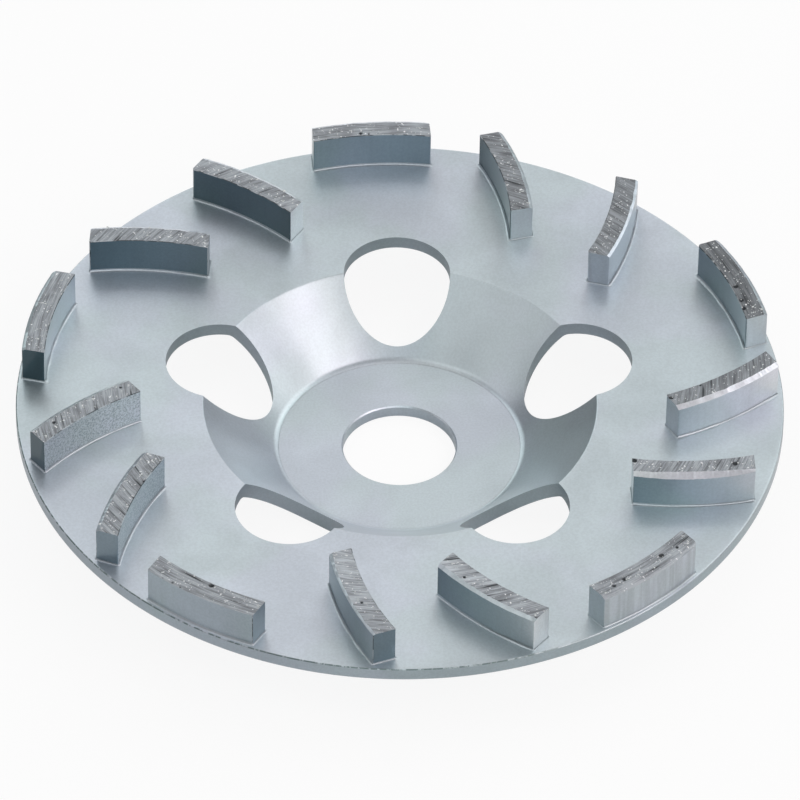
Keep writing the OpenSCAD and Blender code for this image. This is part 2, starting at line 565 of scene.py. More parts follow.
@dataclass
class SteelDisc:
    """The stamped plate: hub, cone and flat rim in one, with its bore and dust holes."""

    lacquer: bpy.types.Material
    plate: float = 2.7 * MM
    cone_angle: float = 40.2
    hub_radius: float = 24.2 * MM
    crease_radius: float = 23.65 * MM
    crease_angle: float = 14.0
    crease_round: float = 0.3 * MM
    hub_bend: float = 2.8 * MM
    hub_back_bend: float = 4.5 * MM
    rim_corner: float = 0.45 * MM
    rim_under_fillet: float = 2.0 * MM
    edge_round: float = 0.3 * MM
    bore_radius: float = 11.115 * MM
    bore_chamfer: float = 0.25 * MM
    hole_radius: float = 10.55 * MM
    hole_pitch: float = 37.08 * MM
    # Painted shade on the upright walls of the bore, the dust holes and the outer edge
    wall_painted_shade: float = 0.8
    wall_lean: float = 0.2
    support: float = 0.15 * MM
    arc_steps: int = 8
    spin_steps: int = 360
    hole_steps: int = 160

    def rim_inner_radius(self) -> float:
        """Returns the radius where the cone would meet the rim's top face."""
        slope = math.tan(math.radians(self.cone_angle))
        return self.hub_radius + (RIM_TOP - self.plate) / slope

    def hub_corners(self) -> list[list[Vector]]:
        """Rounds the bend at the cone's foot and the coined crease inside it.

        Returns:
            The points of the bend's arc and of the crease's.
        """
        crease = Vector((self.crease_radius, self.plate))
        steep = math.tan(math.radians(self.cone_angle))
        gentle = math.tan(math.radians(self.crease_angle))
        across = (steep * self.hub_radius - gentle * self.crease_radius) / (steep - gentle)
        bend = Vector((across, self.plate + gentle * (across - self.crease_radius)))
        return [
            corner_arc(bend, self.cone_angle, 180 + self.crease_angle, self.hub_bend, self.arc_steps),
            corner_arc(crease, self.crease_angle, 180, self.crease_round, self.arc_steps),
        ]

    def outline(self) -> list[Vector]:
        """Draws half the plate's section: out along the back, and home along the grinding side.

        Returns:
            The section's corners, with a support point beside each arc.
        """
        shift = self.plate * math.tan(math.radians(self.cone_angle) / 2)
        inner, under = self.rim_inner_radius(), RIM_TOP - self.plate
        cone, steps = self.cone_angle, self.arc_steps
        bore, chamfer = self.bore_radius, self.bore_chamfer
        runs = [
            [Vector((bore, chamfer)), Vector((bore + chamfer, 0))],
            corner_arc(Vector((self.hub_radius + shift, 0)), 180, cone, self.hub_back_bend, steps),
            corner_arc(Vector((inner + shift, under)), 180 + cone, 360, self.rim_under_fillet, steps),
            corner_arc(Vector((WHEEL_RADIUS, under)), 180, 90, self.edge_round, steps),
            corner_arc(Vector((WHEEL_RADIUS, RIM_TOP)), 270, 180, self.edge_round, steps),
            corner_arc(Vector((inner, RIM_TOP)), 360, 180 + cone, self.rim_corner, steps),
            *self.hub_corners(),
            [Vector((bore + chamfer, self.plate)), Vector((bore, self.plate - chamfer))],
        ]
        points = []
        for run, following in zip(runs, runs[1:] + runs[:1]):
            step = (following[0] - run[-1]).normalized() * self.support
            points += [*run, run[-1] + step, following[0] - step]
        return points

    def build(self) -> bpy.types.Object:
        """Spins the section, bores the dust holes and dresses the plate.

        Returns:
            The finished disc.
        """
        mesh = bmesh.new()
        turned = Matrix.Rotation(math.pi / self.spin_steps, 4, "Z")
        ring = [mesh.verts.new(turned @ Vector((point.x, 0, point.y))) for point in self.outline()]
        edges = [mesh.edges.new(pair) for pair in zip(ring, ring[1:] + ring[:1])]
        bmesh.ops.spin(mesh, geom=[*ring, *edges], cent=(0, 0, 0), axis=(0, 0, 1), angle=2 * math.pi,
                       steps=self.spin_steps, use_merge=True)
        bmesh.ops.recalc_face_normals(mesh, faces=mesh.faces)
        cut = self.bored(mesh, self.hole_cutter())
        coat = cut.faces.layers.float.new("coat")
        # Upright walls get painted shade; the other faces get none
        for face in cut.faces:
            face[coat] = self.wall_painted_shade if abs(face.normal.z) < self.wall_lean else 1.0
        return finish_piece(cut, "disc", [self.lacquer], "lacquered_steel", "steel_disc")

    def hole_cutter(self) -> bmesh.types.BMesh:
        """Makes the five punches that the dust holes are cut with.

        Returns:
            The punches, in one bmesh.
        """
        cutter = bmesh.new()
        for number in range(GROUPS):
            turn = FIRST_HOLE + number * 2 * math.pi / GROUPS
            way = Vector((math.cos(turn), math.sin(turn), 0))
            place = Matrix.Translation(self.hole_pitch * way + Vector((0, 0, RIM_TOP / 2)))
            bmesh.ops.create_cone(cutter, cap_ends=True, segments=self.hole_steps,
                                  radius1=self.hole_radius, radius2=self.hole_radius,
                                  depth=2 * RIM_TOP, matrix=place)
        return cutter

    def bored(self, mesh: bmesh.types.BMesh, cutter: bmesh.types.BMesh) -> bmesh.types.BMesh:
        """Cuts one bmesh out of another with a Boolean modifier.

        Args:
            mesh: The solid that is cut. It is freed.
            cutter: The solid that is taken away. It is freed.

        Returns:
            The cut solid.
        """
        made = []
        for source, name in ((mesh, "plate"), (cutter, "punch")):
            data = bpy.data.meshes.new(name)
            source.to_mesh(data)
            source.free()
            made.append(bpy.data.objects.new(name, data))
            bpy.context.scene.collection.objects.link(made[-1])
        plate, punch = made
        holes = plate.modifiers.new("holes", "BOOLEAN")
        holes.operation, holes.solver, holes.object = "DIFFERENCE", "EXACT", punch
        result = plate.evaluated_get(bpy.context.evaluated_depsgraph_get())
        cut = bmesh.new()
        cut.from_mesh(result.to_mesh())
        for piece in made:
            bpy.data.objects.remove(piece)
        return cut


class Course(Enum):
    """How a segment stands in its group: distance of its middle from the wheel's edge in
    millimetres, place past the group's dust hole, and turn of its convex face, in degrees."""

    EDGE = (3.0, 3.8, 0.0)
    FIRST_SLANTED = (12.25, 27.5, -61.3)
    SECOND_SLANTED = (11.65, 50.6, -54.7)


@dataclass(frozen=True)
class Corner:
    """A corner of a segment that the press rounded more than the others."""

    end: int
    side: int
    radius: float


@dataclass(frozen=True)
class Mark:
    """A pit or a cluster of grit in a segment's ground top, or a blob of braze at its foot, placed
    from the segment's middle and from its concave face, in millimetres."""

    along: float
    across: float
    size: float


class Side(Enum):
    """The sides of a segment. Its far end lies counter-clockwise of its near end."""

    TOP = auto()
    CHAMFER = auto()
    CONVEX = auto()
    CONCAVE = auto()
    FAR_END = auto()
    NEAR_END = auto()


class Spray(Enum):
    """How the lacquer lies on a segment, with the side that it marks."""

    SMOOTH = None
    DRY = Side.CONCAVE
    RUNNY = Side.CONVEX


class PaintedSideShading(Enum):
    """Painted light and shade on a side of a segment, as a factor on its colour: above 1 is painted
    light, below 1 painted shade.
    """

    PAINTED_LIGHT = 1.3
    FULL = 1.0
    LIGHT_SHADE = 0.75
    THIN = 0.5
    DEEP_SHADE = 0.33
    DEEPEST_SHADE = 0.16


@dataclass
class SegmentLook:
    """What sets one segment apart from the others. A side has one step of painted light and shade,
    or one at its near end that runs into another at its far end."""

    number: int
    chamfer: tuple[float, float, float] = (0.7, 0.7, 0.7)
    corners: tuple[Corner, ...] = ()
    pits: tuple[Mark, ...] = ()
    grit: tuple[Mark, ...] = ()
    blobs: tuple[Mark, ...] = ()
    dark_corners: bool = False
    spray: Spray = Spray.SMOOTH
    bare_chamfer: bool = False
    # Painted light and shade on each side, from its near end to its far end
    side_shading: dict[Side, tuple[PaintedSideShading, ...]] = field(default_factory=dict)


CONCAVE, CONVEX = -1, 1
# Most looks end with the painted light and shade of some of their sides and tops.
SEGMENT_LOOKS = [
    SegmentLook(1, corners=(Corner(-1, CONVEX, 1.0),),
                pits=(Mark(2.2, 0.8, 0.7), Mark(0.6, 0.5, 0.5)),
                grit=(Mark(4.0, 1.9, 0.8), Mark(8.2, 2.6, 0.6), Mark(-0.4, 3.6, 1.0),
                      Mark(-9.5, 2.5, 1.0)),
                blobs=(Mark(-12.0, 0.0, 0.8),),
                side_shading={Side.CONCAVE: (PaintedSideShading.THIN,)}),
    SegmentLook(2, corners=(Corner(1, CONVEX, 0.9), Corner(1, CONCAVE, 0.5)),
                grit=(Mark(-0.6, 3.5, 0.8), Mark(-8.7, 1.6, 1.0), Mark(-11.0, 1.0, 0.8),
                      Mark(-6.9, 4.1, 0.7)),
                side_shading={Side.CONCAVE: (PaintedSideShading.DEEPEST_SHADE, PaintedSideShading.DEEP_SHADE), Side.NEAR_END: (PaintedSideShading.PAINTED_LIGHT,)}),
    SegmentLook(3, corners=(Corner(1, CONVEX, 1.0),),
                grit=(Mark(0.6, 1.7, 0.6), Mark(-10.4, 3.0, 0.9), Mark(-11.2, 1.1, 0.7),
                      Mark(8.5, 4.1, 0.7), Mark(0.2, 3.8, 0.6)),
                blobs=(Mark(-12.0, 0.0, 0.6),),
                dark_corners=True,
                side_shading={Side.CONCAVE: (PaintedSideShading.THIN, PaintedSideShading.DEEPEST_SHADE), Side.NEAR_END: (PaintedSideShading.DEEP_SHADE,)}),
    SegmentLook(4, corners=(Corner(-1, CONVEX, 0.8),),
                grit=(Mark(-2.1, 2.4, 0.6), Mark(8.1, 1.9, 0.6), Mark(8.3, 3.7, 0.5),
                      Mark(-9.4, 1.6, 0.5)),
                blobs=(Mark(12.0, -0.5, 1.6), Mark(6.0, -0.5, 0.7), Mark(0.0, -0.5, 0.7),
                       Mark(-6.0, -0.5, 0.5)),
                side_shading={Side.CONCAVE: (PaintedSideShading.LIGHT_SHADE, PaintedSideShading.FULL), Side.FAR_END: (PaintedSideShading.DEEPEST_SHADE,)}),
    SegmentLook(5, corners=(Corner(-1, CONVEX, 0.6),), pits=(Mark(6.8, 2.7, 0.6), Mark(-9.4, 2.9, 0.5)),
                grit=(Mark(-0.3, 2.5, 0.8), Mark(7.1, 1.5, 0.6), Mark(-9.0, 3.5, 0.8),
                      Mark(-7.2, 1.1, 0.6), Mark(10.3, 1.0, 0.6), Mark(11.0, 3.2, 0.6)),
                spray=Spray.DRY, dark_corners=True,
                side_shading={Side.FAR_END: (PaintedSideShading.DEEPEST_SHADE,)}),
    SegmentLook(6, corners=(Corner(-1, CONVEX, 0.7),), pits=(Mark(-4.2, 0.0, 0.8), Mark(0.8, 0.0, 0.6)),
                grit=(Mark(-9.9, 1.4, 0.7), Mark(0.4, 0.4, 0.6), Mark(2.6, 2.6, 0.8),
                      Mark(9.9, 4.1, 0.6), Mark(-9.6, 3.6, 0.6), Mark(11.2, 1.0, 0.6)),
                spray=Spray.DRY, dark_corners=True,
                side_shading={Side.CONCAVE: (PaintedSideShading.LIGHT_SHADE,), Side.FAR_END: (PaintedSideShading.THIN,)}),
    SegmentLook(7, chamfer=(0.2, 0.2, 0.2), corners=(Corner(-1, CONVEX, 0.3),),
                pits=(Mark(0.8, 0.6, 0.9), Mark(-5.9, 4.1, 0.45), Mark(-8.2, 4.4, 0.5),
                      Mark(-4.0, 4.3, 0.4)),
                grit=(Mark(1.6, 0.8, 0.7), Mark(11.2, 1.5, 0.8), Mark(3.6, 0.5, 0.5),
                      Mark(-5.4, 3.7, 0.5)),
                bare_chamfer=True, dark_corners=True,
                side_shading={Side.CONVEX: (PaintedSideShading.LIGHT_SHADE,), Side.FAR_END: (PaintedSideShading.THIN,)}),
    SegmentLook(8, chamfer=(0.6, 0.45, 0.45),
                pits=(Mark(2.8, 2.4, 0.6),),
                grit=(Mark(3.3, 1.6, 0.8), Mark(-10.2, 1.3, 0.8), Mark(-10.9, 3.2, 0.7)),
                dark_corners=True,
                side_shading={Side.TOP: (PaintedSideShading.PAINTED_LIGHT, PaintedSideShading.FULL), Side.CONVEX: (PaintedSideShading.DEEP_SHADE, PaintedSideShading.LIGHT_SHADE),
                       Side.FAR_END: (PaintedSideShading.DEEP_SHADE,)}),
    SegmentLook(9, chamfer=(0.8, 0.7, 0.8), pits=(Mark(-5.8, 3.0, 0.6), Mark(11.5, 4.1, 0.9)),
                grit=(Mark(-4.6, 1.3, 0.7), Mark(-9.8, 1.9, 0.8), Mark(10.9, 3.0, 0.6)),
                side_shading={Side.TOP: (PaintedSideShading.PAINTED_LIGHT, PaintedSideShading.FULL), Side.CONVEX: (PaintedSideShading.DEEP_SHADE, PaintedSideShading.FULL),
                       Side.FAR_END: (PaintedSideShading.PAINTED_LIGHT,)}),
    SegmentLook(10, chamfer=(0.9, 1.1, 0.9), corners=(Corner(1, CONVEX, 0.8), Corner(1, CONCAVE, 0.5)),
                pits=(Mark(4.2, 1.7, 0.9), Mark(-5.6, 2.2, 0.7), Mark(-8.2, 2.5, 0.7),
                      Mark(8.0, 2.4, 0.6)),
                grit=(Mark(-4.9, 2.3, 1.0), Mark(-0.9, 2.7, 1.2), Mark(10.5, 2.7, 1.1),
                      Mark(0.7, 2.9, 1.0), Mark(6.6, 2.6, 0.8), Mark(-2.6, 2.9, 0.8),
                      Mark(-10.6, 3.3, 0.7)),
                spray=Spray.RUNNY, bare_chamfer=True),
    SegmentLook(11, chamfer=(0.9, 1.35, 0.55), pits=(Mark(8.0, 1.7, 0.9), Mark(-11.4, 0.6, 1.0)),
                grit=(Mark(11.1, 2.9, 0.9), Mark(8.6, 1.6, 0.5)),
                blobs=(Mark(-13.0, 4.4, 2.0), Mark(11.5, 4.8, 0.5)),
                side_shading={Side.CONVEX: (PaintedSideShading.THIN, PaintedSideShading.FULL), Side.CHAMFER: (PaintedSideShading.PAINTED_LIGHT,)}),
    SegmentLook(12, chamfer=(1.0, 0.95, 0.9), corners=(Corner(-1, CONCAVE, 0.5),),
                pits=(Mark(-11.4, 1.2, 0.8), Mark(-4.6, 0.3, 0.6)),
                grit=(Mark(-10.0, 0.9, 0.9), Mark(-9.5, 2.3, 1.0), Mark(7.4, 1.8, 1.0)),
                blobs=(Mark(-11.0, 5.0, 0.7), Mark(-4.0, 5.0, 0.6), Mark(3.0, 5.0, 0.7),
                       Mark(9.0, 5.0, 0.6)),
                side_shading={Side.TOP: (PaintedSideShading.LIGHT_SHADE,), Side.CONVEX: (PaintedSideShading.LIGHT_SHADE, PaintedSideShading.PAINTED_LIGHT),
                       Side.CHAMFER: (PaintedSideShading.PAINTED_LIGHT,)}),
    SegmentLook(13, corners=(Corner(1, CONVEX, 0.8), Corner(1, CONCAVE, 0.7)),
                pits=(Mark(-2.2, 0.9, 0.9), Mark(-6.3, 0.6, 0.8), Mark(-8.6, 0.3, 0.9)),
                grit=(Mark(-8.8, 2.2, 1.3), Mark(-10.6, 2.3, 1.2), Mark(-10.0, 3.7, 1.0),
                      Mark(11.0, 3.0, 1.0)),
                side_shading={Side.TOP: (PaintedSideShading.THIN,), Side.CONCAVE: (PaintedSideShading.THIN,)}),
    SegmentLook(14, chamfer=(0.55, 0.5, 0.5), corners=(Corner(-1, CONCAVE, 0.6),),
                grit=(Mark(10.8, 1.2, 0.6),), blobs=(Mark(-12.0, 5.0, 0.8),),
                side_shading={Side.TOP: (PaintedSideShading.LIGHT_SHADE,), Side.CONVEX: (PaintedSideShading.LIGHT_SHADE,)}),
    SegmentLook(15, corners=(Corner(1, CONVEX, 0.8),),
                grit=(Mark(-6.7, 2.8, 1.0), Mark(-10.4, 3.4, 1.0), Mark(6.1, 2.8, 0.8),
                      Mark(9.5, 3.3, 0.7)),
                blobs=(Mark(-12.2, 2.0, 0.8),),
                side_shading={Side.TOP: (PaintedSideShading.LIGHT_SHADE,), Side.CONCAVE: (PaintedSideShading.DEEPEST_SHADE,)}),
]


@dataclass
class BentBar:
    """The bent, square-ended footprint that a segment and its braze bead share."""

    look: SegmentLook
    half_length: float = 11.8 * MM
    width: float = 4.5 * MM
    outer_radius: float = 63.5 * MM
    corner_round: float = 0.2 * MM
    corner_cuts: int = 3
    overrun: float = 1.0 * MM

    @property
    def inner_radius(self) -> float:
        """Bend radius of the concave face."""
        return self.outer_radius - self.width

    def placement(self) -> Matrix:
        """Finds the bar's seat on the rim.

        Returns:
            The matrix from the bend's own axes, with the bar's middle on +X, to the seat.
        """
        group, course = divmod(self.look.number - 1, len(Course))
        inset, past_hole, turn = list(Course)[course].value
        around = FIRST_HOLE + group * 2 * math.pi / GROUPS + math.radians(past_hole)
        middle = self.outer_radius - self.width / 2
        return (Matrix.Rotation(around, 4, "Z")
                @ Matrix.Translation((WHEEL_RADIUS - inset * MM, 0, 0))
                @ Matrix.Rotation(math.radians(turn), 4, "Z")
                @ Matrix.Translation((-middle, 0, 0)))

    def sweep(self, mesh: bmesh.types.BMesh, section: list[tuple[float, float]], steps: int,
              closed: bool) -> None:
        """Spins a section round the bend's centre, a little past both ends.

        Args:
            mesh: Where the bar is made.
            section: Points as (distance from the bend's centre, height).
            steps: How many steps the spin takes.
            closed: Whether the section is a ring of edges or an open line.
        """
        reach = math.asin((self.half_length + self.overrun) / self.inner_radius)
        start = Matrix.Rotation(-reach, 4, "Z")
        verts = [mesh.verts.new(start @ Vector((radius, 0, height))) for radius, height in section]
        pairs = list(zip(verts, verts[1:] + verts[:1]))
        edges = [mesh.edges.new(pair) for pair in (pairs if closed else pairs[:-1])]
        bmesh.ops.spin(mesh, geom=[*verts, *edges], cent=(0, 0, 0), axis=(0, 0, 1), angle=2 * reach,
                       steps=steps, use_merge=False)
        bmesh.ops.remove_doubles(mesh, verts=mesh.verts, dist=WELD)

    def trim(self, mesh: bmesh.types.BMesh, fill: bool) -> None:
        """Cuts the square ends and rounds the four upright corners.

        Args:
            mesh: The swept bar.
            fill: Whether each cut is closed with a face.
        """
        for end in (-1, 1):
            slice_off(mesh, Vector((0, end * self.half_length, 0)), Vector((0, end, 0)), fill)
        for end in (-1, 1):
            for side, radius in ((CONVEX, self.outer_radius), (CONCAVE, self.inner_radius)):
                self.round_corner(mesh, end, side, radius, fill)

    def round_corner(self, mesh: bmesh.types.BMesh, end: int, side: int, bend: float,
                     fill: bool) -> None:
        """Rounds one upright corner with a few plane cuts.

        Args:
            mesh: The swept bar.
            end: 1 for the far end, -1 for the near one.
            side: CONVEX or CONCAVE.
            bend: That side's bend radius.
            fill: Whether each cut is closed with a face.
        """
        wanted = [c.radius * MM for c in self.look.corners if (c.end, c.side) == (end, side)]
        radius = wanted[0] if wanted else self.corner_round
        lean = math.asin(self.half_length / bend)
        corner = Vector((bend * math.cos(lean), end * self.half_length, 0))
        flat = Vector((0, end, 0))
        curved = side * Vector((math.cos(lean), end * math.sin(lean), 0))
        centre = corner - radius * (flat + curved) / (1 + flat.dot(curved))
        for cut in range(self.corner_cuts):
            outward = flat.slerp(curved, (cut + 1) / (self.corner_cuts + 1))
            for face in slice_off(mesh, centre + radius * outward, outward, fill):
                dark = self.look.dark_corners and not wanted and cut > 0
                face.material_index = (SegmentFace.DARKENED if dark else SegmentFace.LACQUERED).value


class SegmentFace(Enum):
    """The material index of each kind of face on a segment."""

    LACQUERED = 0
    GROUND = 1
    GRIT = 2
    DARKENED = 3
    SPRAYED = 4


@dataclass
class DiamondSegment:
    """A bent bar of sintered metal and diamond, ground on top and lacquered on its sides."""

    look: SegmentLook
    sprays: dict[Spray, bpy.types.Material]
    bond: bpy.types.Material
    grit: bpy.types.Material
    darkened: bpy.types.Material
    base: float = SEGMENT_LOW.z
    top: float = SEGMENT_HIGH.z
    chamfer_slope: float = 0.6
    concave_chamfer: float = 0.12 * MM
    raggedness: tuple[tuple[float, float, float], ...] = ((450, 0, 0.16 * MM), (1900, 7, 0.08 * MM))
    ragged_from: float = 0.5 * MM
    cell: float = 0.13 * MM
    scratch_depth: float = 0.03 * MM
    scratch_pitch: float = 0.32 * MM
    scratch_length: float = 6.0 * MM
    scratch_seeds: tuple[float, float] = (3.7, 9.1)
    pit_spread: float = 0.6
    pit_sink: float = 0.5
    pit_darkness: float = 4.0
    loose_grit: int = 22
    loose_sizes: Span = (0.07, 0.15)
    loose_along: float = 11.2
    loose_across: Span = (0.4, 4.1)
    cluster: int = 5
    cluster_reach: float = 0.45
    cluster_sizes: Span = (0.2, 0.4)
    crystal_squash: Span = (0.6, 0.95)
    crystal_height: float = 0.4
    end_zone: float = 0.4 * MM
    facing_end: float = 0.75
    facing_up: float = 0.9
    chamfer_zone: float = 1.2 * MM
    chamfer_lean: float = 0.2
    bar: BentBar = field(init=False)
    dice: random.Random = field(init=False)

    def __post_init__(self) -> None:
        """Gives the segment its footprint and its own dice."""
        self.bar = BentBar(self.look)
        self.dice = random.Random(self.look.number)

    def build(self) -> bpy.types.Object:
        """Models and dresses the segment.

        Returns:
            The finished segment.
        """
        mesh = bmesh.new()
        bar = self.bar
        rows = round(bar.width / self.cell)
        steps = round(2 * bar.half_length / self.cell)
        bar.sweep(mesh, self.section(rows), steps, closed=True)
        self.vary_chamfer(mesh)
        bar.trim(mesh, fill=True)
        self.sort_faces(mesh)
        self.paint_side_shading(mesh)
        self.grind(mesh)
        self.set_grit(mesh)
        bmesh.ops.transform(mesh, matrix=bar.placement(), verts=mesh.verts)
        number = f"{self.look.number:02d}"
        materials = [self.sprays[Spray.SMOOTH], self.bond, self.grit, self.darkened,
                     self.sprays[self.look.spray]]
        return finish_piece(mesh, f"diamond_segment_{number}", materials, "diamond_segment",
                            f"segment_{number}")

    def section(self, rows: int) -> list[tuple[float, float]]:
        """Draws the bar's section.

        Args:
            rows: How many rows the ground top is divided into.

        Returns:
            The section's corners, as (distance from the bend's centre, height).
        """
        inner, outer, small = self.bar.inner_radius, self.bar.outer_radius, self.concave_chamfer
        edge = outer - self.nominal_chamfer()
        start = inner + small
        top = [(edge + (start - edge) * row / rows, self.top) for row in range(rows + 1)]
        drop = self.nominal_chamfer() * self.chamfer_slope
        return [(inner, self.base), (outer, self.base), (outer, self.top - drop), *top,
                (inner, self.top - small)]

    def nominal_chamfer(self) -> float:
        """Width of the chamfer at the segment's middle."""
        return self.look.chamfer[1] * MM

    def vary_chamfer(self, mesh: bmesh.types.BMesh) -> None:
        """Widens or narrows the chamfer along the segment, and the ground top with it.

        Args:
            mesh: The swept bar, still in the bend's own axes.
        """
        inner, outer = self.bar.inner_radius, self.bar.outer_radius
        first, middle, last = (width * MM for width in self.look.chamfer)
        for vert in mesh.verts:
            along = self.share_along(vert.co.y)
            width = middle + (last - middle if along > 0 else first - middle) * along * along
            width += self.ragged(vert.co.y) * min(1.0, width / self.ragged_from)
            radius = vert.co.xy.length
            if vert.co.z > self.top - LEVEL:
                scale = (outer - width - inner) / (outer - middle - inner)
                wanted = inner + (radius - inner) * scale
                vert.co.x *= wanted / radius
                vert.co.y *= wanted / radius
            elif vert.co.z > self.base + LEVEL and radius > outer - LEVEL:
                vert.co.z = self.top - width * self.chamfer_slope

    def share_along(self, along: float) -> float:
        """Turns a place along the segment into -1 at its near end to 1 at its far end."""
        return max(-1.0, min(1.0, along / self.bar.half_length))

    def ragged(self, along: float) -> float:
        """Strays from the chamfer's even width.

        Args:
            along: A place along the segment.

        Returns:
            How much wider the chamfer is there.
        """
        strayed = 0.0
        for scale, seed, width in self.raggedness:
            strayed += width * noise.noise(Vector((along * scale, self.look.number, seed)))
        return strayed

    def sort_faces(self, mesh: bmesh.types.BMesh) -> None:
        """Marks the ground faces, which all lie level at the top, the dark concave edge and the sprayed
        side.

        Args:
            mesh: The trimmed bar, before the marks are cut.
        """
        bmesh.ops.recalc_face_normals(mesh, faces=mesh.faces)
        for face in mesh.faces:
            level = all(vert.co.z > self.top - LEVEL for vert in face.verts)
            if level or (self.look.bare_chamfer and self.on_chamfer(face)):
                face.material_index = SegmentFace.GROUND.value
            # Narrow chamfer under the concave top edge: bare metal where the lacquer ends, and painted
            # shade under the overhanging top
            elif self.on_concave_edge(face):
                face.material_index = SegmentFace.DARKENED.value
            elif self.side(face) is self.look.spray.value:
                face.material_index = SegmentFace.SPRAYED.value

    def side(self, face: bmesh.types.BMFace) -> Side:
        """Tells the side of the segment that a face belongs to.

        Args:
            face: A face, in the bend's own axes.

        Returns:
            The side.
        """
        centre = face.calc_center_median()
        outward = face.normal.dot(Vector((centre.x, centre.y, 0)).normalized())
        past_ends = abs(centre.y) > self.bar.half_length - self.end_zone
        if past_ends and abs(face.normal.y) > self.facing_end:
            return Side.FAR_END if face.normal.y > 0 else Side.NEAR_END
        if face.normal.z > self.facing_up:
            return Side.TOP
        if self.on_chamfer(face):
            return Side.CHAMFER
        return Side.CONVEX if outward > 0 else Side.CONCAVE

    def paint_side_shading(self, mesh: bmesh.types.BMesh) -> None:
        """Writes on each face the painted light and shade that its side has there.

        Args:
            mesh: The trimmed bar.
        """
        # Face attribute that carries the painted light and shade
        coat = mesh.faces.layers.float.new("coat")
        for face in mesh.faces:
            side_shading = self.look.side_shading.get(self.side(face), (PaintedSideShading.FULL,))
            near, far = side_shading[0].value, side_shading[-1].value
            along = self.share_along(face.calc_center_median().y)
            face[coat] = near + (far - near) * (1 + along) / 2

    def on_chamfer(self, face: bmesh.types.BMFace) -> bool:
        """Tells whether a face is part of the convex side's chamfer.

        Args:
            face: A face, in the bend's own axes.

        Returns:
            Whether it leans and lies by the convex side's upper edge.
        """
        centre = face.calc_center_median()
        high = centre.z > self.top - self.chamfer_zone
        convex = centre.xy.length > self.bar.outer_radius - self.chamfer_zone
        return high and convex and abs(face.normal.z) > self.chamfer_lean

    def on_concave_edge(self, face: bmesh.types.BMFace) -> bool:
        """Tells whether a face is part of the narrow chamfer over the concave face.

        Args:
            face: A face, in the bend's own axes.

        Returns:
            Whether it lies by the concave side's upper edge.
        """
        centre = face.calc_center_median()
        near = centre.xy.length < self.bar.inner_radius + self.concave_chamfer
        return near and centre.z > self.top - self.concave_chamfer

    def grind(self, mesh: bmesh.types.BMesh) -> None:
        """Cuts the grinding marks and pits into the top, and writes how high each point stands.

        Args:
            mesh: The trimmed bar.
        """
        place = self.bar.placement()
        fine_seed, broad_seed = self.scratch_seeds
        relief = mesh.verts.layers.float.new("relief")
        for vert in mesh.verts:
            vert[relief] = 1.0
        for vert in [v for v in mesh.verts if v.co.z > self.top - LEVEL]:
            world = place @ vert.co
            radius = world.xy.length
            around = math.atan2(world.y, world.x) * radius
            along = around / self.scratch_length
            fine = noise.noise(Vector((radius / self.scratch_pitch, along, fine_seed)))
            broad = noise.noise(Vector((radius / (3 * self.scratch_pitch), along, broad_seed)))
            depth = self.scratch_depth * (1 + fine + broad)
            # Deeper points get lower relief, which the bond paints darker: painted shade in scratches and
            # pits
            vert[relief] = 0.5 - 0.5 * (fine + broad)
            for pit in self.look.pits:
                hollow = self.pit_depth(vert.co, pit)
                depth += hollow
                vert[relief] = max(0.0, vert[relief] - self.pit_darkness * hollow / MM)
            vert.co.z -= max(0.0, depth)

    def pit_depth(self, point: Vector, pit: Mark) -> float:
        """Measures a pit at a point of the top.

        Args:
            point: The point, in the bend's own axes.
            pit: The pit.

        Returns:
            How deep it is there, or 0 outside it.
        """
        across = point.xy.length - self.bar.inner_radius
        away = math.hypot(point.y - pit.along * MM, across - pit.across * MM)
        share = max(0.0, 1 - away / (self.pit_spread * pit.size * MM))
        return self.pit_sink * pit.size * MM * share ** 0.5 if share else 0.0

    def set_grit(self, mesh: bmesh.types.BMesh) -> None:
        """Sets diamond crystals into the top: those that stand out, and many small ones.

        Args:
            mesh: The ground bar.
        """
        crystals = []
        for mark in self.look.grit:
            for _ in range(self.cluster):
                away = mark.size * self.cluster_reach * self.dice.random()
                turn = self.dice.uniform(0, math.tau)
                size = mark.size * self.dice.uniform(*self.cluster_sizes)
                along = mark.along + away * math.cos(turn)
                across = mark.across + away * math.sin(turn)
                crystals.append((along, across, size))
        nearest, farthest = self.loose_across
        for _ in range(self.loose_grit):
            along = self.dice.uniform(-self.loose_along, self.loose_along)
            across = self.dice.uniform(nearest, farthest - self.look.chamfer[1])
            crystals.append((along, across, self.dice.uniform(*self.loose_sizes)))
        for along, across, size in crystals:
            self.crystal(mesh, along * MM, across * MM, size * MM)

    def crystal(self, mesh: bmesh.types.BMesh, along: float, across: float, size: float) -> None:
        """Sets one faceted crystal into the top, mostly sunk in the bond.

        Args:
            mesh: The ground bar.
            along: Its place along the segment.
            across: Its distance from the concave face.
            size: Its radius.
        """
        turn = Matrix.Rotation(self.dice.uniform(0, math.tau), 4,
                               Vector((self.dice.random(), 1, self.dice.random())))
        width = self.dice.uniform(*self.crystal_squash)
        squash = Matrix.Diagonal((1.0, width, self.crystal_height, 1.0))
        radius = self.bar.inner_radius + across
        place = Matrix.Translation((math.sqrt(radius ** 2 - along ** 2), along,
                                    self.top - self.crystal_height * size))
        made = bmesh.ops.create_icosphere(mesh, subdivisions=1, radius=size,
                                          matrix=place @ squash @ turn)
        for face in {face for vert in made["verts"] for face in vert.link_faces}:
            face.material_index = SegmentFace.GRIT.value


@dataclass
class BeadRing:
    """A ring of edges round a bead, with what each of its vertices hands on to the next ring: the
    level way out of the segment, and the share of a full bead."""

    edges: list[bmesh.types.BMEdge]
    ways: dict[bmesh.types.BMVert, Vector]
    shares: dict[bmesh.types.BMVert, float]


